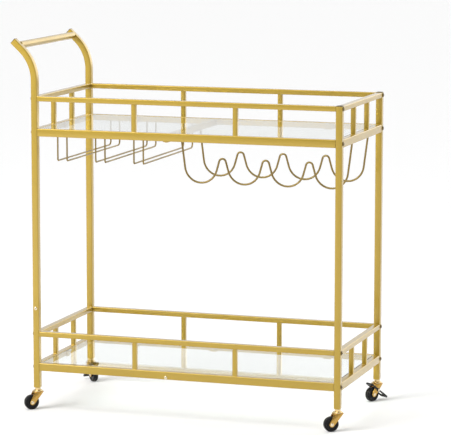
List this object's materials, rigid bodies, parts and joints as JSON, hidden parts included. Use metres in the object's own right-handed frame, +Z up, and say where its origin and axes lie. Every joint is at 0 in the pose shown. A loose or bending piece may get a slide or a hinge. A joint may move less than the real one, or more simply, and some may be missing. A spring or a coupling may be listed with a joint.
{
  "type": "bar cart on wheels",
  "caption": "Bar cart of square gold tube with guarded glass shelves, stemware and bottle racks under the top, push bar, swivel casters.",
  "frame": {"origin": "on the floor, at the middle of the overall length and width", "axes": "+Z up; the push bar is towards -X and the front long side towards -Y"},
  "size_m": [0.8877, 0.4324, 0.9507],
  "materials": {
    "satin_gold": "satin metallic gold powder coat",
    "wire_gold": "satin antique gold coat on wire",
    "bolt_gold": "satin",
    "bright_brass": "polished plating",
    "bright_steel": "bright plated",
    "raw_steel": "plain zinc",
    "black_steel": "semi-gloss black",
    "black_wheel": "moulded, slightly glossy",
    "black_plastic": "moulded",
    "clear_glass": "clear, polished edges",
    "clear_silicone": "clear silicone"
  },
  "bodies": {
    "frame": {"caster_stems": "bright_brass", "frame_bolts": "bolt_gold", "front_bottle_wire": "wire_gold", "glass_brackets": "satin_gold", "glass_pads": "clear_silicone", "left_front_handle_post": "satin_gold", "left_front_lower_post": "satin_gold", "left_rear_handle_post": "satin_gold", "left_rear_lower_post": "satin_gold", "left_stem_wires": "wire_gold", "lower_end_balusters": "satin_gold", "lower_front_guard": "satin_gold", "lower_front_rail": "satin_gold", "lower_glass": "clear_glass", "lower_left_guard": "satin_gold", "lower_left_rail": "satin_gold", "lower_long_balusters": "satin_gold", "lower_rear_guard": "satin_gold", "lower_rear_rail": "satin_gold", "lower_right_guard": "satin_gold", "lower_right_rail": "satin_gold", "middle_stem_wires": "wire_gold", "pan_head_screws": "bright_steel", "post_caps": "black_plastic", "post_sleeves": "raw_steel", "push_bar": "satin_gold", "rack_crossbar": "satin_gold", "rail_plugs": "raw_steel", "rear_bottle_wire": "wire_gold", "right_front_post": "satin_gold", "right_rear_post": "satin_gold", "right_stem_wires": "wire_gold", "stem_sockets": "black_plastic", "upper_end_balusters": "satin_gold", "upper_front_guard": "satin_gold", "upper_front_rail": "satin_gold", "upper_glass": "clear_glass", "upper_left_guard": "satin_gold", "upper_left_rail": "satin_gold", "upper_long_balusters": "satin_gold", "upper_rear_guard": "satin_gold", "upper_rear_rail": "satin_gold", "upper_right_guard": "satin_gold", "upper_right_rail": "satin_gold"},
    "left_front_caster": {"left_front_fork": "bright_brass", "left_front_axle": "bright_steel"},
    "left_front_roller": {"left_front_wheel": "black_wheel"},
    "left_rear_caster": {"left_rear_fork": "bright_brass", "left_rear_axle": "bright_steel", "left_rear_brake_rivets": "bright_steel"},
    "left_rear_roller": {"left_rear_wheel": "black_wheel"},
    "left_rear_brake_lever": {"left_rear_brake": "black_steel"},
    "right_front_caster": {"right_front_fork": "bright_brass", "right_front_axle": "bright_steel"},
    "right_front_roller": {"right_front_wheel": "black_wheel"},
    "right_rear_caster": {"right_rear_fork": "bright_brass", "right_rear_axle": "bright_steel", "right_rear_brake_rivets": "bright_steel"},
    "right_rear_roller": {"right_rear_wheel": "black_wheel"},
    "right_rear_brake_lever": {"right_rear_brake": "black_steel"}
  },
  "joints": [
    {"name": "left_front_swivel", "type": "hinge", "parent": "frame", "child": "left_front_caster", "pos_m": [-0.38181, -0.1875, 0.057], "axis": [0, 0, 1], "continuous": true},
    {"name": "left_front_roll", "type": "hinge", "parent": "left_front_caster", "child": "left_front_roller", "pos_m": [-0.39483, -0.19843, 0.019], "axis": [0.6428, -0.766, 0], "continuous": true},
    {"name": "left_rear_swivel", "type": "hinge", "parent": "frame", "child": "left_rear_caster", "pos_m": [-0.38181, 0.1875, 0.057], "axis": [0, 0, 1], "continuous": true},
    {"name": "left_rear_roll", "type": "hinge", "parent": "left_rear_caster", "child": "left_rear_roller", "pos_m": [-0.36979, 0.17548, 0.019], "axis": [0.7071, 0.7071, 0], "continuous": true},
    {"name": "left_rear_brake_press", "type": "hinge", "parent": "left_rear_caster", "child": "left_rear_brake_lever", "pos_m": [-0.37898, 0.18467, 0.03011], "axis": [0.7071, 0.7071, 0], "range_deg": [0, 16]},
    {"name": "right_front_swivel", "type": "hinge", "parent": "frame", "child": "right_front_caster", "pos_m": [0.41819, -0.1875, 0.057], "axis": [0, 0, 1], "continuous": true},
    {"name": "right_front_roll", "type": "hinge", "parent": "right_front_caster", "child": "right_front_roller", "pos_m": [0.40393, -0.19676, 0.019], "axis": [0.5446, -0.8387, 0], "continuous": true},
    {"name": "right_rear_swivel", "type": "hinge", "parent": "frame", "child": "right_rear_caster", "pos_m": [0.41819, 0.1875, 0.057], "axis": [0, 0, 1], "continuous": true},
    {"name": "right_rear_roll", "type": "hinge", "parent": "right_rear_caster", "child": "right_rear_roller", "pos_m": [0.40893, 0.17324, 0.019], "axis": [0.8387, -0.5446, 0], "continuous": true},
    {"name": "right_rear_brake_press", "type": "hinge", "parent": "right_rear_caster", "child": "right_rear_brake_lever", "pos_m": [0.41601, 0.18415, 0.03011], "axis": [0.8387, -0.5446, 0], "range_deg": [0, 16]}
  ]
}
